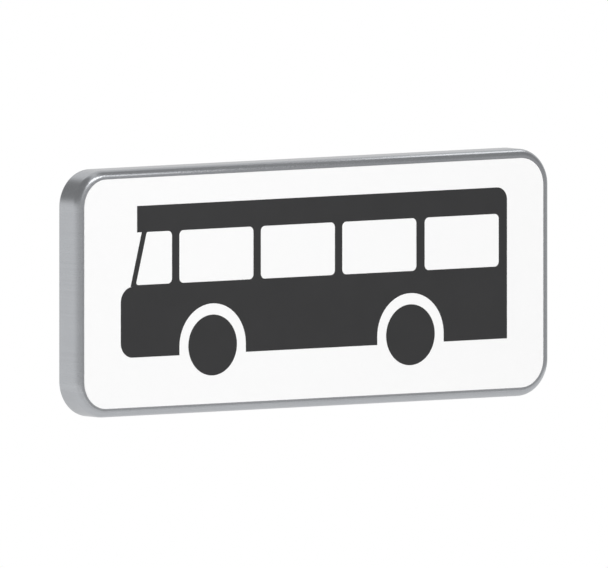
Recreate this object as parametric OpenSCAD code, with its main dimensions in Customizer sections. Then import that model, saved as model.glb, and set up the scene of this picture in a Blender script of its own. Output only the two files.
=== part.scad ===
// Supplementary traffic sign plate: a pressed sheet tray with a white reflective face,
// a black bus symbol cut from film, and two slotted rails bonded to its back for post clamps.
// Everything is drawn lying on its back, face up, and stood upright at the end:
// X runs to the right of the face, Y ends as height, and Z ends as the way the face looks.

/* [Plate] */
// Width of the plate over its rim
plate_w = 600; // [540:10:900]
// Height of the plate over its rim
plate_h = 250; // [220:10:400]
// Depth of the rim, from the front of the sheet to the rear of the return lip
plate_depth = 32; // [25:1:40]
// Radius of the plate's corners, seen from the front
corner_r = 37; // [28:0.5:55]
// Thickness of the sheet
sheet_t = 2; // [1.5:0.1:3]

/* [Rim] */
// Inside radius of the bend between the face and the rim
front_bend_r = 5; // [1:0.5:7]
// Inside radius of the bend between the rim and its return lip
rear_bend_r = 1.5; // [1:0.5:3]
// Width of the return lip, from the outside of the rim to the lip's free edge
return_lip_w = 14; // [9:0.5:20]
// Diameter of the drain holes in the rim's lower side
drain_d = 8; // [5:0.5:10]
// Distance of the drain holes from the plate's ends
drain_inset = 75; // [60:5:150]

/* [Face] */
// Width of the flat bare strip between the bend and the white film
bare_strip_w = 2; // [1:0.5:10]
// Thickness of the white reflective film
film_t = 0.4; // [0.2:0.05:0.6]
// Thickness of the black film that the symbol is cut from
symbol_t = 0.15; // [0.1:0.05:0.3]

/* [Bus symbol, body] */
// Height of the bus body below its windows
skirt_h = 73.1; // [64:0.1:80]
// Height of the roof band above the windows
roof_h = 26.7; // [18:0.1:32]
// Length of the nose ahead of the windscreen's foot
nose_l = 12.8; // [6:0.1:14]
// Drop from the window sill to the top of the nose
nose_drop = 1.4; // [0:0.1:4]
// Radius of the nose's upper corner
nose_r = 15.6; // [12:0.1:22]
// Radius of the nose's lower corner
chin_r = 15; // [8:0.1:22]
// Radius of the tail's upper corner
tail_r = 12.6; // [6:0.1:18]
// Overhang of the roof's front end past the windscreen's top
roof_overhang = 6; // [3:0.1:10]
// Lean of the windscreen over the windows' height
windscreen_lean = 13.9; // [6:0.1:16]
// Width of the windscreen pillar, measured level
windscreen_pillar_w = 6.2; // [3:0.1:8]

/* [Bus symbol, windows] */
// Height of all the windows
window_h = 53.3; // [40:0.1:58]
// Width of each passenger window
window_w = 94.05; // [80:0.05:104]
// Number of passenger windows
window_count = 4; // [2:1:4]
// Width of the cab window at its sill
cab_window_w = 46; // [36:0.1:56]
// Width of the pillars between the windows
pillar_w = 9.25; // [6:0.05:12]
// Width of the two pillars beside the last window
rear_pillar_w = 10.4; // [7:0.1:14]
// Radius of the windows' corners
window_r = 5.1; // [2:0.1:8]
// Radius of the cab window's two front corners
cab_corner_r = 2.4; // [1:0.1:4]

/* [Bus symbol, wheels] */
// Diameter of the wheels
wheel_d = 61.5; // [50:0.1:70]
// Reach of the wheels below the body
wheel_drop = 22.1; // [15:0.1:24]
// Width of the white gap between a wheel and its arch
arch_gap = 11.4; // [6:0.1:14]
// Distance of the front wheel's centre from the tip of the nose
front_wheel_l = 116.5; // [80:0.1:130]
// Distance of the rear wheel's centre from the tail
rear_wheel_l = 122.4; // [80:0.1:140]

/* [Rails] */
// Distance between the centrelines of the two rails
rail_spacing = 130; // [110:5:140]
// Gap between a rail's end and the rim's return lip
rail_end_gap = 16; // [5:1:60]
// Reach of the rails behind the rim
rail_proud = 2; // [1:0.5:10]
// Width of a rail's foot
rail_foot_w = 44; // [38:1:50]
// Thickness of a rail's foot
rail_foot_t = 2.5; // [2:0.1:4]
// Width of a rail's channel, outside
rail_w = 30; // [28:0.5:34]
// Thickness of a rail's side walls
rail_wall_t = 2.5; // [2:0.1:3.5]
// Thickness of the two lips beside a rail's slot
rail_lip_t = 3; // [2:0.1:4]
// Width of a rail's slot
rail_slot_w = 9; // [8.5:0.1:12]
// Radius of a rail's outer edges and of the fillets at its foot
rail_edge_r = 1.5; // [0.5:0.1:2]

/* [Rail tape] */
// Width of the bonding tape under a rail
tape_w = 38; // [20:1:38]
// Thickness of the bonding tape
tape_t = 0.6; // [0.4:0.1:2]

/* [Hidden] */
$fn = 96;

// Cutters run this far past what they cut
past = 1;

// Levels above the rear of the rim, with the plate lying on its back
sheet_back_z = plate_depth - sheet_t;
film_z = plate_depth;
symbol_z = film_z + film_t;
front_z = symbol_z + symbol_t;
rail_seat_z = sheet_back_z - tape_t;
rail_rear_z = -rail_proud;
middle_z = (front_z + rail_rear_z) / 2;

// The rim's bends, outside, and where the corner arcs are centred
front_bend_outer_r = front_bend_r + sheet_t;
rear_bend_outer_r = rear_bend_r + sheet_t;
corner_x = plate_w / 2 - corner_r;
corner_y = plate_h / 2 - corner_r;

// The drain holes sit midway along the flat of the lower wall
drain_x = plate_w / 2 - drain_inset;
drain_z = (rear_bend_outer_r + plate_depth - front_bend_outer_r) / 2;

// The white film
film_inset = front_bend_outer_r + bare_strip_w;
film_w = plate_w - 2 * film_inset;
film_h = plate_h - 2 * film_inset;
film_corner_r = corner_r - film_inset;

// The symbol is centred on the face, wheels included, with its nose to the left
body_h = skirt_h + window_h + roof_h;
last_pillars_l = 2 * rear_pillar_w;
bus_l = nose_l + windscreen_pillar_w + cab_window_w + window_count * (pillar_w + window_w)
    - pillar_w + last_pillars_l;
nose_x = -bus_l / 2;
tail_x = bus_l / 2;
body_top_y = (body_h + wheel_drop) / 2;
body_bottom_y = body_top_y - body_h;
sill_y = body_bottom_y + skirt_h;
window_top_y = sill_y + window_h;
nose_top_y = sill_y - nose_drop;
windscreen_slope = windscreen_lean / window_h;
windscreen_foot_x = nose_x + nose_l;
windscreen_top_x = windscreen_foot_x + windscreen_lean;
cab_sill_x = windscreen_foot_x + windscreen_pillar_w;
cab_rear_x = cab_sill_x + cab_window_w;
last_window_x = tail_x - rear_pillar_w - window_w;

// The wheels and the white arches round them
wheel_r = wheel_d / 2;
arch_r = wheel_r + arch_gap;
wheel_y = body_bottom_y - wheel_drop + wheel_r;
front_wheel_x = nose_x + front_wheel_l;
rear_wheel_x = tail_x - rear_wheel_l;

// The rails
rail_l = plate_w - 2 * (return_lip_w + rail_end_gap);
rail_h = rail_seat_z - rail_rear_z;
rail_room_w = rail_w - 2 * rail_wall_t;
rail_room_h = rail_h - rail_foot_t - rail_lip_t;

// Stands the plate up with its face to the front and its middle at the origin
module stood_up() {
    rotate([90, 0, 0])
        translate([0, 0, -middle_z])
            children();
}

// A rectangle from a corner point, with the radius of each corner given anticlockwise
// from the lower left; 0 leaves a corner square
module rounded_box(corner, size, radii) {
    difference() {
        translate(corner)
            square(size);
        for (k = [0:3])
            if (radii[k] > 0)
                translate(corner + [k == 1 || k == 2 ? size.x : 0, k > 1 ? size.y : 0])
                    rotate(90 * k)
                        corner_waste(radii[k]);
    }
}

// What rounding takes off the corner at the origin of the first quadrant
module corner_waste(r) {
    difference() {
        translate([-past, -past])
            square(r + past);
        translate([r, r])
            circle(r);
    }
}

// The web of metal that a fillet adds in the corner at the origin of the first quadrant
module fillet(r) {
    difference() {
        square(r);
        translate([r, r])
            circle(r);
    }
}

// The rim's section, from the corner's centre out to the rim's outside:
// face sheet, front bend, wall, rear bend and return lip
module rim_section() {
    difference() {
        rounded_box([0, 0], [corner_r, plate_depth],
            [0, rear_bend_outer_r, front_bend_outer_r, 0]);
        rounded_box([-past, sheet_t], [corner_r - sheet_t + past, plate_depth - 2 * sheet_t],
            [0, rear_bend_r, front_bend_r, 0]);
        translate([-past, -past])
            square([corner_r - return_lip_w + past, sheet_t + 2 * past]);
    }
}

// A straight run of the rim that faces +X
module rim_run(distance, length) {
    translate([distance, 0, 0])
        rotate([90, 0, 0])
            linear_extrude(height = length, center = true)
                rim_section();
}

// The pressed tray in one piece: face sheet, rim and return lip, all round
module tray() {
    translate([-corner_x, -corner_y, sheet_back_z])
        cube([2 * corner_x, 2 * corner_y, sheet_t]);
    for (turn = [0, 180]) {
        rotate(turn)
            rim_run(corner_x, 2 * corner_y);
        rotate(turn + 90)
            rim_run(corner_y, 2 * corner_x);
        rotate(turn)
            translate([corner_x, corner_y, 0])
                rotate_extrude(angle = 90)
                    rim_section();
        rotate(turn)
            translate([-corner_x, corner_y, 0])
                rotate(90)
                    rotate_extrude(angle = 90)
                        rim_section();
    }
}

module sign_plate() {
    color("silver")
        stood_up()
            difference() {
                tray();
                for (side = [-1, 1])
                    translate([side * drain_x, -plate_h / 2, drain_z])
                        rotate([90, 0, 0])
                            cylinder(d = drain_d, h = 2 * sheet_t + 2 * past, center = true);
            }
}

module face_film() {
    color("white")
        stood_up()
            translate([0, 0, film_z])
                linear_extrude(height = film_t)
                    rounded_box([-film_w / 2, -film_h / 2], [film_w, film_h],
                        [film_corner_r, film_corner_r, film_corner_r, film_corner_r]);
}

// The bus body without its windows and arches
module bus_outline() {
    // Skirt and nose, with the tail's lower corner square
    rounded_box([nose_x, body_bottom_y], [bus_l, nose_top_y - body_bottom_y],
        [chin_r, 0, 0, nose_r]);
    // Side between the nose's top and the roof band, behind the leaning windscreen
    polygon([
        [windscreen_foot_x - windscreen_slope * nose_drop, nose_top_y],
        [tail_x, nose_top_y],
        [tail_x, window_top_y],
        [windscreen_top_x, window_top_y]
    ]);
    // Roof band
    rounded_box([windscreen_top_x - roof_overhang, window_top_y],
        [tail_x - windscreen_top_x + roof_overhang, roof_h],
        [0, 0, tail_r, 0]);
}

module passenger_window(left_x) {
    rounded_box([left_x, sill_y], [window_w, window_h],
        [window_r, window_r, window_r, window_r]);
}

// The cab window leans with the windscreen at its front
module cab_window() {
    hull() {
        for (y = [sill_y + window_r, window_top_y - window_r])
            translate([cab_rear_x - window_r, y])
                circle(window_r);
        for (y = [sill_y + cab_corner_r, window_top_y - cab_corner_r])
            translate([cab_front_x(y) + cab_corner_r * leaning_reach, y])
                circle(cab_corner_r);
    }
}

// How far a circle of radius 1 must stand behind a leaning edge to touch it
leaning_reach = sqrt(1 + pow(windscreen_slope, 2));

// Where the cab window's front edge is at a height
function cab_front_x(y) = cab_sill_x + windscreen_slope * (y - sill_y);

// The white opening round a wheel: an arch with straight sides down to the body's edge
module wheel_arch(centre_x) {
    translate([centre_x, wheel_y])
        circle(arch_r);
    translate([centre_x - arch_r, body_bottom_y - past])
        square([2 * arch_r, wheel_y - body_bottom_y + past]);
}

module bus_body_film() {
    color("dimgray")
        stood_up()
            translate([0, 0, symbol_z])
                linear_extrude(height = symbol_t)
                    difference() {
                        bus_outline();
                        cab_window();
                        for (k = [0:window_count - 2])
                            passenger_window(cab_rear_x + pillar_w + k * (window_w + pillar_w));
                        passenger_window(last_window_x);
                        wheel_arch(front_wheel_x);
                        wheel_arch(rear_wheel_x);
                    }
}

module wheel_film(centre_x) {
    color("dimgray")
        stood_up()
            translate([centre_x, wheel_y, symbol_z])
                cylinder(r = wheel_r, h = symbol_t);
}

module front_wheel_film() {
    wheel_film(front_wheel_x);
}

module rear_wheel_film() {
    wheel_film(rear_wheel_x);
}

// A rail's section: a flat foot on the tape, a channel, and two lips beside the slot.
// The foot's seat is at 0 and the slot's mouth at -rail_h.
module rail_section() {
    difference() {
        union() {
            translate([-rail_foot_w / 2, -rail_foot_t])
                square([rail_foot_w, rail_foot_t]);
            rounded_box([-rail_w / 2, -rail_h], [rail_w, rail_h],
                [rail_edge_r, rail_edge_r, 0, 0]);
            for (side = [0, 1])
                mirror([side, 0])
                    translate([rail_w / 2, -rail_foot_t])
                        mirror([0, 1])
                            fillet(rail_edge_r);
        }
        translate([-rail_room_w / 2, -rail_h + rail_lip_t])
            square([rail_room_w, rail_room_h]);
        translate([-rail_slot_w / 2, -rail_h - past])
            square([rail_slot_w, rail_lip_t + 2 * past]);
    }
}

module rail(centre_y) {
    color("gainsboro")
        stood_up()
            translate([0, centre_y, rail_seat_z])
                rotate([90, 0, 90])
                    linear_extrude(height = rail_l, center = true)
                        rail_section();
}

module upper_rail() {
    rail(rail_spacing / 2);
}

module lower_rail() {
    rail(-rail_spacing / 2);
}

module rail_tape(centre_y) {
    color("darkslategray")
        stood_up()
            translate([-rail_l / 2, centre_y - tape_w / 2, rail_seat_z])
                cube([rail_l, tape_w, tape_t]);
}

module upper_rail_tape() {
    rail_tape(rail_spacing / 2);
}

module lower_rail_tape() {
    rail_tape(-rail_spacing / 2);
}

sign_plate();
face_film();
bus_body_film();
front_wheel_film();
rear_wheel_film();
upper_rail();
lower_rail();
upper_rail_tape();
lower_rail_tape();
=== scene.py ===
"""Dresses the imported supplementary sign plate.

The tray is rebuilt as one fine surface, the rails get deburred edges, the films and the tapes
keep their solids, and every surface gets a finish. All lengths are in metres, in the part's frame:
X to the right of the face, Y to the rear, Z up.
"""

import math

import bpy
import numpy as np
from mathutils import Matrix, Vector


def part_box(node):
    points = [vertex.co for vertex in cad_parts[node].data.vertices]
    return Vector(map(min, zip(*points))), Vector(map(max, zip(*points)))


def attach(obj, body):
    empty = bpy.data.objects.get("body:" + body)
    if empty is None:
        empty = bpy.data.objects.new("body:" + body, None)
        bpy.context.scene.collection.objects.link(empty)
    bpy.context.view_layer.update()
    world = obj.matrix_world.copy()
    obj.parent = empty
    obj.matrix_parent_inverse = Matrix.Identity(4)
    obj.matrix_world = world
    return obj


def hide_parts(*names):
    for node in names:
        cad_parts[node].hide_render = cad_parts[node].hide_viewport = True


bl_info = {
    "name": "Supplementary sign plate",
    "version": (1, 0, 0),
    "blender": (4, 5, 0),
    "location": "3D View > Sidebar > Sign plate",
    "description": "Builds a pressed sign plate with rails, and finishes it and its films",
    "category": "Object",
}

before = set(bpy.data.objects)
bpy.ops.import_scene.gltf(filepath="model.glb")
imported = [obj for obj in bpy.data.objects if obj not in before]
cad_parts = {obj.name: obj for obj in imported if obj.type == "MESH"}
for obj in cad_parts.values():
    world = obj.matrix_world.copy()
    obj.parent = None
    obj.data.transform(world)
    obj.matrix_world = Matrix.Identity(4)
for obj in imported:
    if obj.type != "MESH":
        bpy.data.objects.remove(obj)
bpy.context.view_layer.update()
BODY = "root"

PLATE_LOW, PLATE_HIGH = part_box("sign_plate")
FACE_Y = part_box("face_film")[0].y
RAILS = ("upper_rail", "lower_rail")
TAPES = ("upper_rail_tape", "lower_rail_tape")
SYMBOL = ("bus_body_film", "front_wheel_film", "rear_wheel_film")

# Steps along one arc of a section, one corner of the plate, the quarter round of a deburred edge,
# and the ring of a drain hole, which is a multiple of four
BEND_STEPS = 10
CORNER_STEPS = 28
ROUND_STEPS = 4
HOLE_STEPS = 48
QUARTER_ROUND = np.linspace(0, math.pi / 2, ROUND_STEPS + 1)

# Width of the flat cell round a drain hole, in diameters of the hole
DRAIN_CELL = 3.0
# The round of a rail's ends, as a share of its small edges' radius, so that no arc folds over
END_SHARE = 0.75

MICRON = 1e-6
FILM_IOR = 1.45

# The photo's view: degrees round to the right of the sign, here to its left, and above it, and
# how far the picture's middle lies to the right of the face's middle and above it
PHOTO_TURN, PHOTO_RISE = -37.3, 3.9
PHOTO_SHIFT = (-0.00992, -0.00049)
CAMERA_DISTANCE = 3.0

# What the floor adds for the camera, in the middle and at the rim, and the shares of its radius
# between which that grows
FLOOR_GLOW = (0.12, 0.36)
FLOOR_FADE = (0.4, 0.95)

# The studio that gloss mirrors, where 1 is white: the direction in which the band round the
# horizon is brightest, the band's levels opposite that and there, the ceiling's levels on the
# left and in the middle, and what the ceiling loses past its middle, in front and behind
BRIGHT_X, BRIGHT_Y = -0.64, 0.77
BAND_LEVELS = (0.5, 0.94)
CEILING_LEVELS = (0.33, 0.88)
CEILING_LOSSES = (0.5, 0.05)


def length(name, description, default):
    """A size that a user may change, in metres."""
    return bpy.props.FloatProperty(
        name=name, description=description, default=default, min=0.0, unit="LENGTH", precision=4
    )


def colour(name, description, default):
    """A colour that a user may change."""
    return bpy.props.FloatVectorProperty(
        name=name, description=description, default=default, min=0.0, max=1.0, subtype="COLOR"
    )


class SignTraySizes(bpy.types.PropertyGroup):
    """Sizes of the pressed tray"""

    corner_radius: length("Corner radius", "Radius of the plate's corners, seen from the front", 0.037)
    sheet: length("Sheet thickness", "Thickness of the sheet", 0.002)
    front_bend: length("Front bend", "Inside radius of the bend at the face", 0.005)
    rear_bend: length("Rear bend", "Inside radius of the bend at the return lip", 0.0015)
    lip_width: length("Lip width", "Width of the return lip from the outside of the rim", 0.014)
    edge_round: length("Edge round", "Radius of the lip's deburred free edge", 0.0004)
    drain_diameter: length("Drain hole", "Diameter of the two drain holes", 0.008)
    drain_inset: length("Drain inset", "Distance of the drain holes from the plate's ends", 0.075)


class SignRailSizes(bpy.types.PropertyGroup):
    """Sizes of the slotted rails' section"""

    channel_width: length("Channel width", "Outside width of the channel", 0.03)
    foot: length("Foot thickness", "Thickness of the foot", 0.0025)
    wall: length("Wall thickness", "Thickness of the side walls", 0.0025)
    lip: length("Lip thickness", "Thickness of the lips beside the slot", 0.003)
    slot: length("Slot width", "Width of the slot", 0.009)
    edge: length("Edge radius", "Radius of the outer edges and of the fillets", 0.0015)
    small_edge: length("Small edge radius", "Radius of all the other edges", 0.0004)


class SignFinishes(bpy.types.PropertyGroup):
    """Colours of the finishes"""

    plate_metal: colour("Plate metal", "Satin sheet aluminium", (0.467, 0.48, 0.5))
    rail_metal: colour("Rail metal", "Extruded aluminium of the rails", (0.56, 0.57, 0.575))
    white_film: colour("White film", "Reflective film of the face", (0.93, 0.93, 0.93))
    black_film: colour("Black film", "Film of the symbol", (0.028, 0.028, 0.029))
    tape: colour("Tape", "Foam tape under the rails", (0.03, 0.03, 0.032))


class SignStage(bpy.types.PropertyGroup):
    """The studio round the sign"""

    floor_drop: length("Floor drop", "Height of the plate's middle above the floor", 0.45)
    floor_radius: length("Floor radius", "Radius of the round floor", 2.2)
    view_width: length("View width", "Width of what the camera sees", 0.6134)
    key_power: bpy.props.FloatProperty(
        name="Key light", description="Power of the large front light", default=112.0, unit="POWER"
    )
    top_power: bpy.props.FloatProperty(
        name="Overhead light", description="Power of the overhead softbox", default=9.0, unit="POWER"
    )
    glint: bpy.props.FloatProperty(
        name="Glint", description="Brightness of the softboxes that the metal mirrors", default=3.5
    )
    ambient: bpy.props.FloatProperty(
        name="Ambient", description="Even light from all round", default=0.55, min=0.0
    )


# Shapes


def grid(x, y, z):
    """Three arrays, spread to one shape, as the X, Y and Z of an array of points."""
    return np.stack(np.broadcast_arrays(x, y, z), axis=-1)


def turned_right(direction):
    """Directions in a plane turned right by a quarter: (a, b) becomes (b, -a)."""
    return np.stack([direction[..., 1], -direction[..., 0]], axis=-1)


def rounded(corners, radii, closed=True):
    """The corners of a polygon in the plane, each replaced by an arc that touches both its sides.

    The arc starts before the corner by the radius times the tangent of half the turn. From there
    its heading turns evenly to the next side's, and each point is the arc's centre plus or minus
    the radius times the heading turned right. That is also the normal, which points outwards on
    a polygon that runs anticlockwise. An open line keeps its two ends as they are.
    Returns (points, normals).
    """
    corners = np.asarray(corners, float)
    radii = np.asarray(radii, float)
    ahead = np.roll(corners, -1, axis=0) - corners
    ahead /= np.linalg.norm(ahead, axis=1)[:, None]
    behind = np.roll(ahead, 1, axis=0)
    cross = behind[:, 0] * ahead[:, 1] - behind[:, 1] * ahead[:, 0]
    turn = np.arctan2(cross, (behind * ahead).sum(axis=1))
    side = np.sign(turn)[:, None]
    start = corners - behind * (radii * np.tan(np.abs(turn) / 2))[:, None]
    centre = start - side * radii[:, None] * turned_right(behind)
    turned = turn[:, None] * np.linspace(0, 1, BEND_STEPS + 1)
    heading = np.arctan2(behind[:, 1], behind[:, 0])[:, None] + turned
    normals = turned_right(np.stack([np.cos(heading), np.sin(heading)], axis=-1))
    points = centre[:, None] + side[:, None] * radii[:, None, None] * normals
    if not closed:
        first, last = turned_right(ahead[0]), turned_right(behind[-1])
        points = np.vstack([corners[:1], points[1:-1].reshape(-1, 2), corners[-1:]])
        normals = np.vstack([[first], normals[1:-1].reshape(-1, 2), [last]])
        return points, normals
    return points.reshape(-1, 2), normals.reshape(-1, 2)


def quads(rings, steps, first=0):
    """The faces between closed rings of points, where the number of a point is the first number
    plus its ring times the steps plus its place in the ring.

    Each face takes a point, the next in its ring, and the two beside them in the next ring."""
    below = first + np.arange(rings - 1)[:, None] * steps
    above = below + steps
    here = np.arange(steps)
    after = (here + 1) % steps
    return np.stack([below + here, below + after, above + after, above + here], axis=-1)


def new_piece(name, points, normals, groups, blank=None):
    """A mesh object from points, their outward normals and groups of faces, riding on the part.
    Where each point lies on the flat sheet before it is pressed goes into an attribute, blank."""
    mesh = bpy.data.meshes.new(name)
    mesh.from_pydata(points.tolist(), [], [list(face) for group in groups for face in group])
    if blank is not None:
        layer = mesh.attributes.new("blank", "FLOAT_VECTOR", "POINT")
        layer.data.foreach_set("vector", blank.astype(np.float32).ravel())
    mesh.validate()
    mesh.polygons.foreach_set("use_smooth", np.ones(len(mesh.polygons), bool))
    mesh.normals_split_custom_set_from_vertices(normals.tolist())
    mesh.update()
    piece = bpy.data.objects.new(name, mesh)
    bpy.context.scene.collection.objects.link(piece)
    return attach(piece, BODY)


def rim_profile(sizes, depth):
    """The tray's section as an open line, from under the face film, round the rim and the lip's
    free edge, and back to the rear of the sheet: (outward distance from the corner's centre,
    distance to the rear of the face). Returns (points, normals, distance along the line)."""
    out, sheet = sizes.corner_radius, sizes.sheet
    start = out / 2
    lip = out - sizes.lip_width
    corners = [
        (start, 0),
        (out, 0),
        (out, depth),
        (lip, depth),
        (lip, depth - sheet),
        (out - sheet, depth - sheet),
        (out - sheet, sheet),
        (start, sheet),
    ]
    radii = [
        0,
        sizes.front_bend + sheet,
        sizes.rear_bend + sheet,
        sizes.edge_round,
        sizes.edge_round,
        sizes.rear_bend,
        sizes.front_bend,
        0,
    ]
    points, normals = rounded(corners, radii, closed=False)
    along = np.r_[0, np.linalg.norm(np.diff(points, axis=0), axis=1).cumsum()]
    return points, normals, along


def rim_path(half_width, half_height, corner_radius, marks):
    """Stations round the plate, anticlockwise from the front: arcs at the four corners, joined by
    straight sides, with extra stations at the given X on the lower side.

    A station is a base point and an outward direction: on an arc the base is the corner's centre
    and the direction is (cosine, sine) of the angle. Returns (bases, directions)."""
    x, z = half_width - corner_radius, half_height - corner_radius
    centres = np.array([(x, z), (-x, z), (-x, -z), (x, -z)])
    angles = np.arange(4)[:, None] * math.pi / 2 + np.linspace(0, math.pi / 2, CORNER_STEPS + 1)
    directions = np.stack([np.cos(angles), np.sin(angles)], axis=-1)
    bases = np.broadcast_to(centres[:, None], directions.shape)
    down = np.broadcast_to([0.0, -1.0], (len(marks), 2))
    lower = np.stack([np.asarray(marks, float), np.full(len(marks), -z)], axis=-1)
    split = 3 * (CORNER_STEPS + 1)
    bases, directions = bases.reshape(-1, 2), directions.reshape(-1, 2)
    return (
        np.vstack([bases[:split], lower, bases[split:]]),
        np.vstack([directions[:split], down, directions[split:]]),
    )


def drain_hole(centre_x, middle_y, outer_z, sizes):
    """The wall of a drain hole in the lower side, turned about a vertical axis.

    Its section goes in from the outside over a quarter round, up the wall and out over another:
    radius plus the round times (1 - sine) and depth of the round times (1 - cosine). Returns
    (points, normals) as (rows, HOLE_STEPS, 3) arrays, from the outside to the inside."""
    radius, edge, t = sizes.drain_diameter / 2, sizes.edge_round, QUARTER_ROUND
    away = np.r_[radius + edge * (1 - np.sin(t)), radius + edge * (1 - np.cos(t))][:, None]
    depth = np.r_[edge * (1 - np.cos(t)), sizes.sheet - edge * (1 - np.sin(t))][:, None]
    inward = np.r_[np.sin(t), np.cos(t)][:, None]
    upward = np.r_[-np.cos(t), np.sin(t)][:, None]
    angle = np.arange(HOLE_STEPS) * 2 * math.pi / HOLE_STEPS
    x, y = np.cos(angle), np.sin(angle)
    points = grid(centre_x + away * x, middle_y + away * y, outer_z + depth)
    normals = grid(-inward * x, -inward * y, upward)
    return points, normals


def cell_corners(row, column, columns, inside):
    """The numbers of the four corners of a cell in the lower wall, at the right rear, the left
    rear, the left front and the right front. The inner wall's rows run to the front."""
    rear, front = (row, row + 1) if inside else (row + 1, row)
    left, right = column, column + 1
    return np.array([rear, rear, front, front]) * columns + np.array([right, left, left, right])


def holed_cell(corners, ring, reverse):
    """The flat faces between a cell's four corners and a round hole in it.

    Each corner fans out to the quarter of the ring that faces it, and each side makes a triangle
    with the ring's point between two quarters."""
    quarter = len(ring) // 4
    k = np.arange(4)
    i = np.arange(len(ring))
    fans = np.stack([corners[i // quarter], ring[(i + 1) % len(ring)], ring[i]], axis=-1)
    middles = ring[(k + 1) * quarter % len(ring)]
    sides = np.stack([corners[k], corners[(k + 1) % 4], middles], axis=-1)
    faces = np.vstack([fans, sides])
    return faces[:, ::-1] if reverse else faces


def pressed_tray(name, sizes):
    """The tray as one closed surface: the rim's section carried round the plate's outline.

    A point is the station's base plus its direction times the section's outward distance, set
    back from the face by the section's depth, and its normal is turned with it. The two drain
    holes take the place of four cells in the lower wall, and two flat faces close the front and
    the back of the sheet. The attribute blank holds where each point lies on the flat sheet
    before it is pressed: its distance along the section, laid out straight."""
    low, high = PLATE_LOW, PLATE_HIGH
    depth = high.y - low.y
    section, section_normal, along = rim_profile(sizes, depth)
    drain_x = high.x - sizes.drain_inset
    half_cell = DRAIN_CELL / 2 * sizes.drain_diameter
    marks = [side * drain_x + step * half_cell for side in (-1, 1) for step in (-1, 1)]
    bases, directions = rim_path(high.x, high.z, sizes.corner_radius, marks)
    rows, columns = len(section), len(bases)

    def placed(out, back, base_share):
        """The section's values at every station: a share of 1 gives points, 0 directions."""
        flat = base_share * bases + out[:, None, None] * directions
        return grid(flat[..., 0], back[:, None], flat[..., 1]).reshape(-1, 3)

    points = placed(section[:, 0], low.y + section[:, 1], 1)
    normals = placed(section_normal[:, 0], section_normal[:, 1], 0)
    # The rear skin lies over the front one on the flat sheet
    unfolded = np.minimum(along, along[-1] - along)
    blank = placed(section[0, 0] + unfolded, np.zeros(rows), 1)
    faces = quads(rows, columns)[:, :, ::-1]

    # The rows of the lower wall's flats, outside and inside, and the column of the first drain
    outer_flat = BEND_STEPS + 1
    inner_flat = rows - 2 - outer_flat
    first_mark = 3 * (CORNER_STEPS + 1)
    middle_y = low.y + (sizes.front_bend + depth - sizes.rear_bend) / 2
    keep = np.ones(faces.shape[:2], bool)
    holes, hole_points, hole_normals = [], [], []
    ring = len(points)
    for k, side in enumerate((-1, 1)):
        column = first_mark + 2 * k
        wall, wall_normal = drain_hole(side * drain_x, middle_y, low.z, sizes)
        hole_points.append(wall.reshape(-1, 3))
        hole_normals.append(wall_normal.reshape(-1, 3))
        holes.append(quads(len(wall), HOLE_STEPS, first=ring)[:, :, ::-1].reshape(-1, 4))
        inner_ring = ring + (len(wall) - 1) * HOLE_STEPS
        for row, start, inside in ((outer_flat, ring, False), (inner_flat, inner_ring, True)):
            keep[row, column] = False
            corners = cell_corners(row, column, columns, inside)
            holes.append(holed_cell(corners, start + np.arange(HOLE_STEPS), not inside))
        ring += len(wall) * HOLE_STEPS

    # On the blank, the holes' points lie as far down the wall as they lie back from the face
    x, y, _ = np.vstack(hole_points).T
    flat = slice(outer_flat, outer_flat + 2)
    down_wall = np.interp(y - low.y, section[flat, 1], along[flat])
    down = (high.z - sizes.corner_radius) + section[0, 0] + down_wall
    blank = np.vstack([blank, grid(x, 0.0, -down)])
    points = np.vstack([points, *hole_points])
    normals = np.vstack([normals, *hole_normals])
    front_face = np.arange(columns)
    rear_face = (rows - 1) * columns + front_face
    groups = [faces[keep], *holes, [front_face], [rear_face[::-1]]]
    return new_piece(name, points, normals, groups, blank)


def rail_section(sizes, foot_width, height):
    """A rail's section, anticlockwise seen from its left end, as (rearward, upward) from the
    middle of its foot: foot, channel walls, and two lips beside the slot."""
    foot, half = foot_width / 2, sizes.channel_width / 2
    room = half - sizes.wall
    slot = sizes.slot / 2
    big, small = sizes.edge, sizes.small_edge
    side = [
        (0, foot, small),
        (sizes.foot, foot, small),
        (sizes.foot, half, big),
        (height, half, big),
        (height, slot, small),
        (height - sizes.lip, slot, small),
        (height - sizes.lip, room, small),
        (sizes.foot, room, small),
    ]
    other = [(y, -z, radius) for y, z, radius in side[::-1]]
    around = np.array(other + side)[::-1]
    return rounded(around[:, :2], around[:, 2])


def slotted_rail(name, sizes):
    """A rail as one closed surface: its section carried along X, with both ends deburred.

    Towards an end the section shrinks along its own normals by the round times (1 - sine), while
    it moves out by the round times (1 - cosine) less the round, and a flat face closes it."""
    low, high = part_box(name)
    middle_z = (low.z + high.z) / 2
    section, section_normal = rail_section(sizes, high.z - low.z, high.y - low.y)
    edge, t = END_SHARE * sizes.small_edge, QUARTER_ROUND
    # The same quarter round at both ends, mirrored
    both = np.r_[t, t[::-1]][:, None]
    x = np.r_[low.x + edge * (1 - np.cos(t)), high.x - edge * (1 - np.cos(t[::-1]))][:, None]
    endward = np.r_[-np.cos(t), np.cos(t[::-1])][:, None]
    yz = section - (edge * (1 - np.sin(both)))[..., None] * section_normal
    points = grid(x, low.y + yz[..., 0], middle_z + yz[..., 1])
    sideward = np.sin(both)
    normals = grid(endward, sideward * section_normal[:, 0], sideward * section_normal[:, 1])
    rows, columns = points.shape[:2]
    faces = quads(rows, columns).reshape(-1, 4)
    left = np.arange(columns)
    right = (rows - 1) * columns + left
    groups = [faces, [left[::-1]], [right]]
    return new_piece(name + "_piece", points.reshape(-1, 3), normals.reshape(-1, 3), groups)


# Finishes


def grey(level):
    """A grey as a colour of four numbers."""
    return (level, level, level, 1.0)


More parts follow.
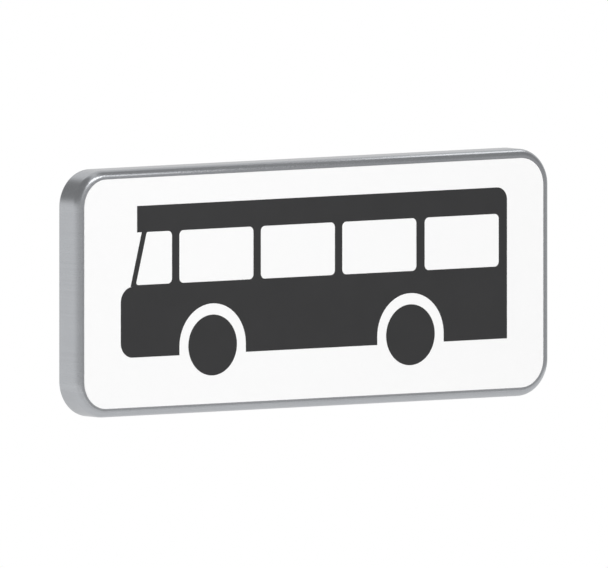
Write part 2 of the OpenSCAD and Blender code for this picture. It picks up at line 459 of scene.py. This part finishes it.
def shade(base, factor):
    """A colour with each part multiplied, as four numbers."""
    return (*[min(1.0, part * factor) for part in base], 1.0)


class Nodes:
    """A material's or world's node tree, with short ways to add nodes and to join them."""

    def __init__(self, owner):
        owner.use_nodes = True
        self.tree = owner.node_tree
        self.tree.nodes.clear()

    def add(self, kind, inputs=None, **settings):
        """Adds a node, with its settings, and sets each input to a value or joins it to a socket."""
        node = self.tree.nodes.new("ShaderNode" + kind)
        for key, value in settings.items():
            setattr(node, key, value)
        for key, value in (inputs or {}).items():
            if isinstance(value, bpy.types.NodeSocket):
                self.tree.links.new(value, node.inputs[key])
            else:
                node.inputs[key].default_value = value
        return node

    def place(self):
        """Where a point lies on the object, in metres."""
        return self.add("TexCoord").outputs["Object"]

    def rays(self):
        """Whether a ray comes from the camera, and whether from gloss or glass, as 0 or 1."""
        path = self.add("LightPath").outputs
        shiny = self.math("MAXIMUM", path["Is Glossy Ray"], path["Is Transmission Ray"])
        return path["Is Camera Ray"], shiny

    def math(self, operation, *values):
        """A Math node's result."""
        return self.add("Math", dict(enumerate(values)), operation=operation).outputs[0]

    def ranged(self, value, span, target, smooth=False):
        """The value's span from low to high, turned into the target's two ends and held beyond."""
        kind = "SMOOTHSTEP" if smooth else "LINEAR"
        inputs = dict(enumerate((value, *span, *target)))
        return self.add("MapRange", inputs, interpolation_type=kind).outputs[0]

    def mixed(self, share, first, second):
        """Two colours, mixed by a share."""
        inputs = {0: share, 6: first, 7: second}
        return self.add("Mix", inputs, data_type="RGBA").outputs[2]

    def blended(self, share, first, second):
        """Two values, mixed by a share."""
        return self.add("Mix", {0: share, 2: first, 3: second}).outputs[0]

    def toned(self, value, span, base, factors):
        """The base colour times the first factor at the low end of a value's span, and times the
        second at its high end."""
        share = self.ranged(value, span, (0.0, 1.0))
        return self.mixed(share, shade(base, factors[0]), shade(base, factors[1]))

    def noise(self, source, cells, detail=2.0, roughness=0.5):
        """Noise with a number of cells per metre, or with one number for each direction."""
        if isinstance(cells, tuple):
            source = self.add("Mapping", {0: source, 3: cells}).outputs[0]
            cells = 1.0
        inputs = {"Vector": source, "Scale": cells, "Detail": detail, "Roughness": roughness}
        return self.add("TexNoise", inputs).outputs[0]

    def beads(self, source, cells):
        """The distance from the nearest of scattered points, with a number of them per metre."""
        return self.add("TexVoronoi", {"Vector": source, "Scale": cells}).outputs["Distance"]

    def bump(self, height, distance, strength, normal=None):
        """The surface's normal, tilted by a height that stands for a distance in metres."""
        inputs = {"Height": height, "Distance": distance, "Strength": strength}
        if normal:
            inputs["Normal"] = normal
        return self.add("Bump", inputs).outputs[0]

    def surface(self, inputs):
        """The Principled surface, joined to the material's output."""
        shader = self.add("BsdfPrincipled", inputs)
        self.add("OutputMaterial", {0: shader.outputs[0]})


def new_material(name):
    """A new material, and its nodes with none in them yet."""
    made = bpy.data.materials.new(name)
    return made, Nodes(made)


def sheet_aluminium(base):
    """Rolled sheet with a satin skin: fine grain and faint roll streaks along the blank's length,
    soft clouds in the gloss, and thin hairline scuffs, all laid out on the flat blank so that
    they follow the press."""
    made, nodes = new_material("sheet_aluminium")
    blank = nodes.add("Attribute", attribute_name="blank").outputs["Vector"]
    grain = nodes.noise(blank, (30, 1, 1500), detail=3.0, roughness=0.6)
    streaks = nodes.noise(blank, (3, 1, 260), detail=4.0, roughness=0.65)
    clouds = nodes.noise(blank, 9.0, detail=3.0)
    mottle = nodes.noise(blank, 60.0, detail=4.0, roughness=0.6)
    scratches = nodes.noise(blank, (14, 1, 900), detail=1.0)
    scuffs = nodes.ranged(scratches, (0.7, 0.76), (0.0, 1.0))
    roll = nodes.ranged(streaks, (0.3, 0.7), (0.0, 1.0))
    tint = nodes.toned(nodes.blended(0.4, clouds, mottle), (0.35, 0.65), base, (0.94, 1.0))
    tint = nodes.mixed(nodes.math("MULTIPLY", roll, 0.6), tint, shade(base, 1.1))
    tint = nodes.mixed(nodes.math("MULTIPLY", scuffs, 0.25), tint, shade(base, 1.2))
    # The gloss varies by little, because more would fleck the line of light along the bend
    rough = nodes.ranged(clouds, (0.35, 0.65), (0.235, 0.265))
    rough = nodes.math("MULTIPLY_ADD", roll, 0.01, rough)
    rough = nodes.math("MULTIPLY_ADD", scuffs, 0.03, rough)
    normal = nodes.bump(grain, 4 * MICRON, 0.25)
    nodes.surface({"Base Color": tint, "Metallic": 1.0, "Roughness": rough, "Normal": normal})
    return made


def extruded_aluminium(base):
    """Extruded metal: die lines along X, each with its own gloss, under a dull mill skin."""
    made, nodes = new_material("extruded_aluminium")
    place = nodes.place()
    lines = nodes.noise(place, (0.6, 900, 900), roughness=0.7)
    streaks = nodes.noise(place, (1.5, 160, 160))
    clouds = nodes.noise(place, 25.0, detail=3.0)
    tint = nodes.toned(streaks, (0.35, 0.65), base, (0.94, 1.05))
    rough = nodes.ranged(nodes.blended(0.4, streaks, clouds), (0.35, 0.65), (0.3, 0.4))
    normal = nodes.bump(lines, 10 * MICRON, 0.5)
    nodes.surface({"Base Color": tint, "Metallic": 1.0, "Roughness": rough, "Normal": normal})
    return made


def reflective_film(base):
    """White reflective film: a smooth clear skin over a layer of fine glass beads, which dulls
    the gloss a little and speckles the white by a hair."""
    made, nodes = new_material("reflective_film")
    place = nodes.place()
    beads = nodes.beads(place, 2200.0)
    waves = nodes.noise(place, 45.0)
    normal = nodes.bump(beads, 6 * MICRON, 0.3)
    nodes.surface(
        {
            "Base Color": nodes.toned(beads, (0.1, 0.7), base, (1.0, 0.985)),
            "Roughness": nodes.ranged(waves, (0.3, 0.7), (0.32, 0.38)),
            "IOR": FILM_IOR,
            "Specular IOR Level": 0.4,
            "Normal": nodes.bump(waves, 10 * MICRON, 0.3, normal),
        }
    )
    return made


def symbol_film(base):
    """Black cut film: satin, with a fine leathery skin and faint clouds in its gloss."""
    made, nodes = new_material("symbol_film")
    place = nodes.place()
    skin = nodes.noise(place, 1600.0)
    waves = nodes.noise(place, 30.0, detail=3.0)
    nodes.surface(
        {
            "Base Color": nodes.toned(waves, (0.3, 0.7), base, (0.96, 1.04)),
            "Roughness": nodes.ranged(waves, (0.3, 0.7), (0.4, 0.46)),
            "IOR": FILM_IOR,
            "Specular IOR Level": 0.35,
            "Normal": nodes.bump(skin, 8 * MICRON, 0.35),
        }
    )
    return made


def foam_tape(base):
    """Dark acrylic foam: open cells along its cut edge, dull all over."""
    made, nodes = new_material("foam_tape")
    place = nodes.place()
    cells = nodes.beads(place, 5200.0)
    patches = nodes.noise(place, 400.0, detail=3.0)
    tint = nodes.toned(patches, (0.3, 0.7), base, (0.75, 1.3))
    rough = nodes.ranged(cells, (0.0, 0.8), (0.8, 0.95))
    normal = nodes.bump(cells, 50 * MICRON, 0.8)
    nodes.surface({"Base Color": tint, "Roughness": rough, "Normal": normal})
    return made


def dress(piece, made):
    """Gives an object one material all over."""
    piece.data.materials.clear()
    piece.data.materials.append(made)
    return piece


# The studio


def pale_floor(radius):
    """A pale matt floor, with painted shade that makes it greyer in front of the sign. For the camera,
    gloss and glass it glows just enough to make up white, so that a shadow on it still shows, and more
    towards its rim, where it ends in the white. It is clear from below, so that it hides nothing of
    the sign."""
    made, nodes = new_material("pale_floor")
    place = nodes.place()
    cloth = nodes.noise(place, 6.0, detail=3.0)
    tint = nodes.mixed(cloth, grey(0.9), grey(0.92))
    # Painted shade: the floor's colour goes darker towards its front, as if less light fell there, so
    # that the metal mirrors a darker floor in front
    depth = nodes.add("SeparateXYZ", {0: place}).outputs["Y"]
    rearward = nodes.ranged(depth, (-0.9, 0.0), (0.0, 1.0), smooth=True)
    tint = nodes.mixed(rearward, grey(0.66), tint)
    matt = nodes.add("BsdfDiffuse", {"Color": tint}).outputs[0]
    camera, shiny = nodes.rays()
    seen = nodes.math("MAXIMUM", camera, shiny)
    away = nodes.add("VectorMath", {0: place}, operation="LENGTH").outputs["Value"]
    fade = (FLOOR_FADE[0] * radius, FLOOR_FADE[1] * radius)
    share = nodes.ranged(away, fade, FLOOR_GLOW, smooth=True)
    strength = nodes.math("MULTIPLY", seen, share)
    glow = nodes.add("Emission", {"Color": grey(1.0), "Strength": strength}).outputs[0]
    pale = nodes.add("AddShader", {0: matt, 1: glow}).outputs[0]
    below = nodes.add("NewGeometry").outputs["Backfacing"]
    clear = nodes.add("BsdfTransparent").outputs[0]
    shader = nodes.add("MixShader", {0: below, 1: pale, 2: clear}).outputs[0]
    nodes.add("OutputMaterial", {0: shader})
    return made


def studio_world(ambient):
    """White for the camera, and even grey light for matt surfaces. For gloss and glass a studio:
    a band round the horizon, white behind and to the left and mid grey in front, under a ceiling
    that is dark on the left, pale along its middle, and mid grey at the front on the right."""
    world = bpy.data.worlds.new("studio")
    bpy.context.scene.world = world
    nodes = Nodes(world)
    direction = nodes.add("TexCoord").outputs["Generated"]
    rightward, rearward, upward = nodes.add("SeparateXYZ", {0: direction}).outputs
    brightward = nodes.math("MULTIPLY", rearward, BRIGHT_Y)
    brightward = nodes.math("MULTIPLY_ADD", rightward, BRIGHT_X, brightward)
    band = nodes.ranged(brightward, (-1.0, 1.0), BAND_LEVELS)
    pale = nodes.ranged(rightward, (-0.1, 0.1), CEILING_LEVELS, smooth=True)
    past_pale = nodes.ranged(rightward, (0.25, 0.38), (0.0, 1.0), smooth=True)
    loss = nodes.ranged(rearward, (-0.15, 0.25), CEILING_LOSSES, smooth=True)
    ceiling = nodes.math("SUBTRACT", pale, nodes.math("MULTIPLY", past_pale, loss))
    high = nodes.ranged(upward, (0.04, 0.26), (0.0, 1.0), smooth=True)
    studio = nodes.blended(high, band, ceiling)
    camera, shiny = nodes.rays()
    strength = nodes.math("MAXIMUM", camera, nodes.blended(shiny, ambient, studio))
    light = nodes.add("Background", {"Color": grey(1.0), "Strength": strength}).outputs[0]
    nodes.add("OutputWorld", {0: light})


def aimed(name, data, place, target):
    """An object that stands at a place and looks at a target."""
    made = bpy.data.objects.new(name, data)
    made.location = place
    made.rotation_euler = (Vector(target) - Vector(place)).to_track_quat("-Z", "Y").to_euler()
    bpy.context.scene.collection.objects.link(made)
    return made


def softbox(name, place, side, power):
    """A square softbox that lights the sign but shows neither to the camera nor in gloss."""
    data = bpy.data.lights.new(name, "AREA")
    data.shape, data.size, data.energy = "SQUARE", side, power
    lamp = aimed(name, data, place, (0, 0, 0))
    lamp.visible_camera = lamp.visible_glossy = False


def glint_box(name, place, target_x, width, height, radiance, lean=0.0):
    """A small softbox that only gloss sees. It looks at the rim's upper front edge at an X, and
    its upper end leans to the left by an angle. Its power is radiance times pi times its area."""
    data = bpy.data.lights.new(name, "AREA")
    data.shape, data.size, data.size_y = "RECTANGLE", width, height
    data.energy = radiance * math.pi * width * height
    lamp = aimed(name, data, place, (target_x, PLATE_LOW.y, PLATE_HIGH.z))
    lamp.rotation_euler.rotate_axis("Z", lean)
    lamp.visible_camera = lamp.visible_diffuse = False


def hang_lamps(stage):
    """Two softboxes for the matt surfaces, and three for the lines of light on the rim's front
    bend: round the upper left corner, towards the right end of the upper side, and along its
    left end."""
    softbox("key_light", place=(-0.5, -4.1, 2.0), side=2.4, power=stage.key_power)
    softbox("overhead_light", place=(-0.1, 0.35, 2.2), side=0.9, power=stage.top_power)
    glint_box(
        "corner_glint",
        place=(0.16, -1.05, 0.66),
        target_x=PLATE_LOW.x,
        width=0.24,
        height=0.7,
        radiance=stage.glint,
        lean=math.radians(43),
    )
    glint_box(
        "edge_glint",
        place=(0.6, -0.036, 0.62),
        target_x=0.2,
        width=0.2,
        height=0.25,
        radiance=0.45 * stage.glint,
    )
    glint_box(
        "rim_glint",
        place=(0.16, -0.545, 0.26),
        target_x=-0.23,
        width=0.14,
        height=0.2,
        radiance=0.25 * stage.glint,
    )


def round_floor(drop, radius):
    """A round floor: rings of points at even steps of radius, with the faces between them and a
    fan at the middle."""
    rings, steps = 8, 96
    angle = np.arange(steps) * 2 * math.pi / steps
    away = radius * np.arange(1, rings + 1)[:, None] / rings
    ring = grid(away * np.cos(angle), away * np.sin(angle), -drop).reshape(-1, 3)
    points = np.vstack([ring, [[0, 0, -drop]]])
    faces = quads(rings, steps)[:, :, ::-1].reshape(-1, 4)
    inner = np.arange(steps)
    fan = np.stack([inner, (inner + 1) % steps, np.full(steps, len(ring))], axis=-1)
    mesh = bpy.data.meshes.new("floor")
    mesh.from_pydata(points.tolist(), [], faces.tolist() + fan.tolist())
    floor = bpy.data.objects.new("floor", mesh)
    bpy.context.scene.collection.objects.link(floor)
    return floor


def photo_camera(view_width):
    """A camera with parallel rays, on the photo's side of the sign.

    It stands back along (sine of the turn times cosine of the rise, minus cosine of the turn
    times cosine of the rise, sine of the rise), and its right is level."""
    turn, rise = math.radians(PHOTO_TURN), math.radians(PHOTO_RISE)
    back = Vector(
        (math.sin(turn) * math.cos(rise), -math.cos(turn) * math.cos(rise), math.sin(rise))
    )
    right = Vector((math.cos(turn), math.sin(turn), 0))
    up = back.cross(right)
    middle = Vector((0, FACE_Y, 0)) + PHOTO_SHIFT[0] * right + PHOTO_SHIFT[1] * up
    data = bpy.data.cameras.new("photo_camera")
    data.type, data.ortho_scale = "ORTHO", view_width
    camera = bpy.data.objects.new("photo_camera", data)
    axes = Matrix((right, up, back)).transposed().to_4x4()
    camera.matrix_world = Matrix.Translation(middle + CAMERA_DISTANCE * back) @ axes
    bpy.context.scene.collection.objects.link(camera)
    bpy.context.scene.camera = camera


# The add-on


class SIGN_OT_press_tray(bpy.types.Operator):
    """Build the pressed tray with its rim, return lip and drain holes"""

    bl_idname = "sign.press_tray"
    bl_label = "Press the tray"

    def execute(self, context):
        scene = context.scene
        tray = pressed_tray("pressed_tray", scene.sign_tray)
        dress(tray, sheet_aluminium(scene.sign_finishes.plate_metal))
        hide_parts("sign_plate")
        return {"FINISHED"}


class SIGN_OT_lay_films(bpy.types.Operator):
    """Finish the white film of the face and the black film of the symbol"""

    bl_idname = "sign.lay_films"
    bl_label = "Lay the films"

    def execute(self, context):
        finishes = context.scene.sign_finishes
        dress(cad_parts["face_film"], reflective_film(finishes.white_film))
        black = symbol_film(finishes.black_film)
        for name in SYMBOL:
            dress(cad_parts[name], black)
        return {"FINISHED"}


class SIGN_OT_fit_rails(bpy.types.Operator):
    """Build the two slotted rails and finish the tape under them"""

    bl_idname = "sign.fit_rails"
    bl_label = "Fit the rails"

    def execute(self, context):
        scene = context.scene
        metal = extruded_aluminium(scene.sign_finishes.rail_metal)
        for name in RAILS:
            rail = dress(slotted_rail(name, scene.sign_rails), metal)
            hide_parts(name)
        foam = foam_tape(scene.sign_finishes.tape)
        for name in TAPES:
            dress(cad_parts[name], foam)
        return {"FINISHED"}


class SIGN_OT_set_stage(bpy.types.Operator):
    """Set the floor, the lights, the background and the camera"""

    bl_idname = "sign.set_stage"
    bl_label = "Set the stage"

    def execute(self, context):
        scene = context.scene
        stage = scene.sign_stage
        scene.view_settings.view_transform = "Standard"
        floor = round_floor(stage.floor_drop, stage.floor_radius)
        dress(floor, pale_floor(stage.floor_radius))
        studio_world(stage.ambient)
        hang_lamps(stage)
        photo_camera(stage.view_width)
        return {"FINISHED"}


class SIGN_PT_panel(bpy.types.Panel):
    """Sizes, colours and steps of the sign plate"""

    bl_idname = "SIGN_PT_panel"
    bl_label = "Sign plate"
    bl_space_type = "VIEW_3D"
    bl_region_type = "UI"
    bl_category = "Sign plate"

    def draw(self, context):
        for group, title in GROUPS:
            box = self.layout.box()
            box.label(text=title)
            settings = getattr(context.scene, group)
            for name in settings.bl_rna.properties.keys():
                if name not in ("rna_type", "name"):
                    box.prop(settings, name)
        for step in STEPS:
            self.layout.operator(step.bl_idname)


GROUPS = (
    ("sign_tray", "Tray"),
    ("sign_rails", "Rails"),
    ("sign_finishes", "Finishes"),
    ("sign_stage", "Stage"),
)
SETTINGS = (SignTraySizes, SignRailSizes, SignFinishes, SignStage)
STEPS = (SIGN_OT_press_tray, SIGN_OT_lay_films, SIGN_OT_fit_rails, SIGN_OT_set_stage)


def register():
    for kind in (*SETTINGS, *STEPS, SIGN_PT_panel):
        bpy.utils.register_class(kind)
    for (group, _), kind in zip(GROUPS, SETTINGS):
        setattr(bpy.types.Scene, group, bpy.props.PointerProperty(type=kind))


def unregister():
    for group, _ in GROUPS:
        delattr(bpy.types.Scene, group)
    for kind in (SIGN_PT_panel, *STEPS[::-1], *SETTINGS[::-1]):
        bpy.utils.unregister_class(kind)


def main():
    """Registers the add-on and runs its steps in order."""
    register()
    bpy.ops.sign.press_tray()
    bpy.ops.sign.lay_films()
    bpy.ops.sign.fit_rails()
    bpy.ops.sign.set_stage()


if __name__ == "__main__":
    main()
